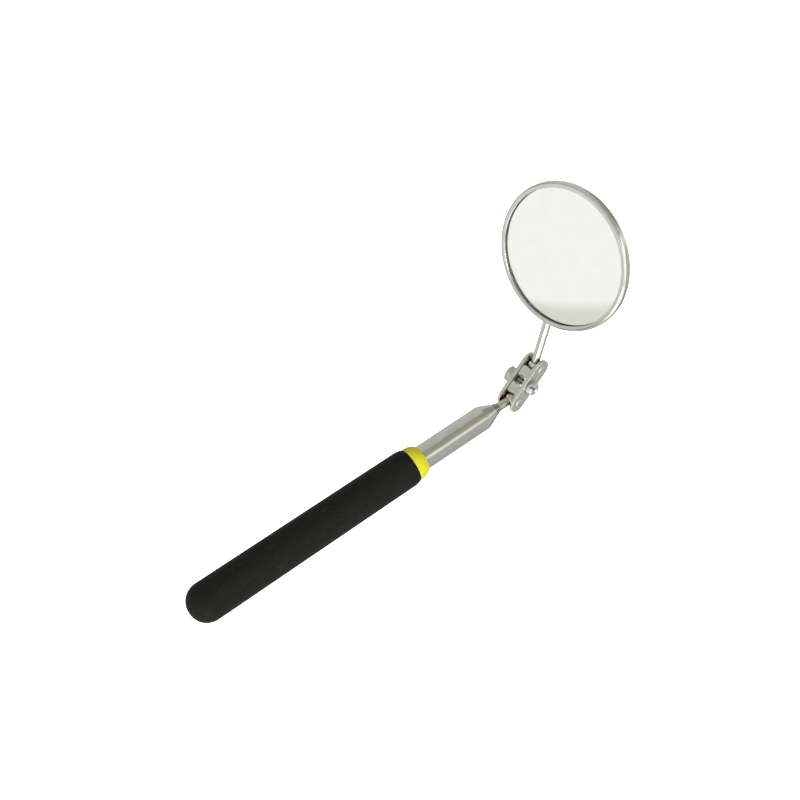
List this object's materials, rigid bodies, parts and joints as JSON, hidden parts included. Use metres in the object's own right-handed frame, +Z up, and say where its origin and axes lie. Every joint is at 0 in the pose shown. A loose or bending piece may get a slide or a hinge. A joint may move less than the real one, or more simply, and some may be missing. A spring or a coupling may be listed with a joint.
{
  "type": "telescoping inspection mirror",
  "caption": "Hand inspection mirror: black sleeve grip, yellow collar, telescoping steel stem, double ball clamp and a round glass mirror in a steel rim.",
  "frame": {"origin": "on the handle's axis at the middle of the bare tube between the collar and the nose", "axes": "+X along the handle from the grip's butt towards the mirror; +Z up as the tool lies on a table on its grip and the mirror's rim"},
  "size_m": [0.192, 0.0874, 0.0567],
  "materials": {
    "grip_rubber": "matte, soft sheen",
    "collar_plastic": "glossy yellow",
    "tube_steel": "satin stainless",
    "plug_plastic": "matte",
    "section_steel": "fine satin",
    "bush_plastic": "matte natural nylon",
    "spring_bronze": "bright bronze",
    "tip_brass": "polished, worn nickel over brass",
    "ball_brass": "polished",
    "clamp_nickel": "satin nickel plate",
    "nut_nickel": "satin nickel plate",
    "screw_chrome": "bright",
    "ball_steel": "polished",
    "arm_chrome": "polished",
    "case_steel": "bright rolled rim",
    "pad_foam": "matte",
    "silver": "silvered",
    "glass": "clear",
    "bracket_steel": "satin",
    "rivet_steel": "satin"
  },
  "bodies": {
    "handle": {"grip": "grip_rubber", "collar": "collar_plastic", "outer_tube": "tube_steel", "butt_plug": "plug_plastic"},
    "section_1": {"section_1_tube": "section_steel", "section_1_bush": "bush_plastic", "section_1_friction_ring": "spring_bronze"},
    "section_2": {"section_2_tube": "section_steel", "section_2_sleeve": "spring_bronze"},
    "section_3": {"section_3_tube": "tip_brass", "section_3_sleeve": "spring_bronze"},
    "stem": {"tip_stem": "tip_brass"},
    "handle_ball": {"handle_ball": "ball_brass"},
    "clamp": {"screw_plate": "clamp_nickel", "nut_plate": "clamp_nickel", "clamp_nut": "nut_nickel"},
    "screw": {"clamp_screw": "screw_chrome"},
    "mirror_ball": {"mirror_ball": "ball_steel"},
    "arm": {"mirror_arm": "arm_chrome"},
    "mirror_head": {"mirror_case": "case_steel", "backing_pad": "pad_foam", "silver_layer": "silver", "mirror_glass": "glass", "arm_bracket": "bracket_steel", "bracket_rivets": "rivet_steel"}
  },
  "joints": [
    {"name": "section_1_slide", "type": "slide", "parent": "handle", "child": "section_1", "axis": [1, 0, 0], "range_m": [0, 0.1]},
    {"name": "section_2_slide", "type": "slide", "parent": "section_1", "child": "section_2", "axis": [1, 0, 0], "range_m": [0, 0.1]},
    {"name": "section_3_slide", "type": "slide", "parent": "section_2", "child": "section_3", "axis": [1, 0, 0], "range_m": [0, 0.1]},
    {"name": "head_spin", "type": "hinge", "parent": "section_3", "child": "stem", "pos_m": [0.02977, 0, 0], "axis": [1, 0, 0], "continuous": true},
    {"name": "handle_ball_tilt", "type": "hinge", "parent": "stem", "child": "handle_ball", "pos_m": [0.02977, 0, 0], "axis": [0, 0.9018, 0.4321], "range_deg": [-18.8, 1.2]},
    {"name": "handle_ball_swing", "type": "hinge", "parent": "handle_ball", "child": "clamp", "pos_m": [0.02977, 0, 0], "axis": [0.153, -0.427, 0.8912], "range_deg": [-103.8, 46.2]},
    {"name": "clamp_screw_turn", "type": "hinge", "parent": "clamp", "child": "screw", "pos_m": [0.03653, 0.00384, 0.00068], "axis": [0.153, -0.427, 0.8912], "range_deg": [-30, 180]},
    {"name": "mirror_ball_swing", "type": "hinge", "parent": "clamp", "child": "mirror_ball", "pos_m": [0.04328, 0.00768, 0.00136], "axis": [0.153, -0.427, 0.8912], "range_deg": [-113.9, 36.1]},
    {"name": "mirror_ball_tilt", "type": "hinge", "parent": "mirror_ball", "child": "arm", "pos_m": [0.04328, 0.00768, 0.00136], "axis": [-0.9143, 0.281, 0.2916], "range_deg": [-6.2, 9.8]},
    {"name": "mirror_twist", "type": "hinge", "parent": "arm", "child": "mirror_head", "pos_m": [0.04328, 0.00768, 0.00136], "axis": [0.3796, 0.8456, 0.3752], "continuous": true}
  ]
}
